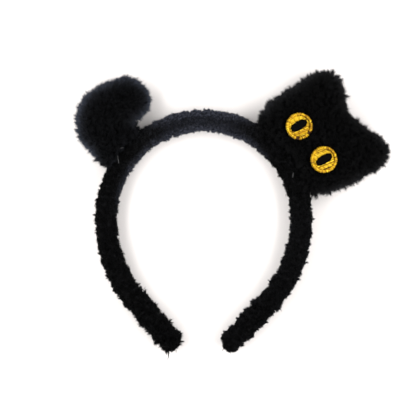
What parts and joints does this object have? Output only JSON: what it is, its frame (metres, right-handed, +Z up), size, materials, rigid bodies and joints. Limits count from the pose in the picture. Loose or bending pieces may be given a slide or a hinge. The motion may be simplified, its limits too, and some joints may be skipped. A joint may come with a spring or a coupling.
{
  "type": "animal ears headband",
  "caption": "Plush headband with a stuffed cat head on one side of the arch and a stuffed curled tail on the other; its springy arms spread to grip the head.",
  "frame": {"origin": "middle of the underside of the whole headband, on the surface that it lies on", "axes": "+Y towards the crown of the arch, +X towards the side with the cat head, +Z up, the way the cat's face looks"},
  "size_m": [0.1882, 0.175, 0.0269],
  "materials": {
    "core_plastic": "plain moulded black plastic strip",
    "foam": "thin dark polyurethane foam",
    "terry_plush": "near-black short knobby terry plush",
    "head_plush": "near-black tufted plush in soft clumps",
    "tail_plush": "near-black longer plush with a faint cool sheen",
    "stuffing": "white polyester fibre filling",
    "felt": "black felt backing patch",
    "gold_thread": "golden yellow rayon embroidery thread with a satin sheen",
    "pupil_thread": "black embroidery thread",
    "black_thread": "black polyester sewing thread"
  },
  "bodies": {
    "band": {"core_strip_crown": "core_plastic", "core_strip_flex_left": "core_plastic", "core_strip_flex_right": "core_plastic", "foam_wrap_crown": "foam", "foam_wrap_flex_left": "foam", "foam_wrap_flex_right": "foam", "plush_sleeve_crown": "terry_plush", "plush_sleeve_flex_left": "terry_plush", "plush_sleeve_flex_right": "terry_plush", "head_seam_thread": "black_thread", "tail_seam_thread": "black_thread"},
    "left_arm": {"core_strip_arm_left": "core_plastic", "foam_wrap_arm_left": "foam", "plush_sleeve_arm_left": "terry_plush", "sleeve_tip_left": "terry_plush", "tip_knot_left": "black_thread", "loose_thread_left": "black_thread"},
    "right_arm": {"core_strip_arm_right": "core_plastic", "foam_wrap_arm_right": "foam", "plush_sleeve_arm_right": "terry_plush", "sleeve_tip_right": "terry_plush", "tip_knot_right": "black_thread"},
    "cat_head": {"head_front_panel": "head_plush", "head_back_panel": "head_plush", "head_stuffing": "stuffing", "eye_left_patch": "felt", "eye_left_border": "gold_thread", "eye_left_fill": "gold_thread", "eye_left_pupil": "pupil_thread", "eye_right_patch": "felt", "eye_right_border": "gold_thread", "eye_right_fill": "gold_thread", "eye_right_pupil": "pupil_thread"},
    "tail": {"tail_front_panel": "tail_plush", "tail_back_panel": "tail_plush", "tail_stuffing": "stuffing"}
  },
  "joints": [
    {"name": "left_arm_flex", "type": "hinge", "parent": "band", "child": "left_arm", "pos_m": [-0.07527, -0.00831, 0.00825], "axis": [0, 0, -1], "range_deg": [-6, 28], "stiffness_Nm_per_rad": 0.2, "deforming": ["core_strip_flex_left", "foam_wrap_flex_left", "plush_sleeve_flex_left"]},
    {"name": "right_arm_flex", "type": "hinge", "parent": "band", "child": "right_arm", "pos_m": [0.04183, -0.00831, 0.00825], "axis": [0, 0, 1], "range_deg": [-6, 28], "stiffness_Nm_per_rad": 0.2, "deforming": ["core_strip_flex_right", "foam_wrap_flex_right", "plush_sleeve_flex_right"]},
    {"name": "head_flop", "type": "hinge", "parent": "band", "child": "cat_head", "pos_m": [0.03532, 0.03692, 0.014], "axis": [0.6136, -0.7896, 0], "range_deg": [0, 30], "stiffness_Nm_per_rad": 0.02, "deforming": ["head_seam_thread"]},
    {"name": "tail_flop", "type": "hinge", "parent": "band", "child": "tail", "pos_m": [-0.06731, 0.03871, 0.014], "axis": [0.6408, 0.7677, 0], "range_deg": [0, 30], "stiffness_Nm_per_rad": 0.02, "deforming": ["tail_seam_thread"]}
  ]
}
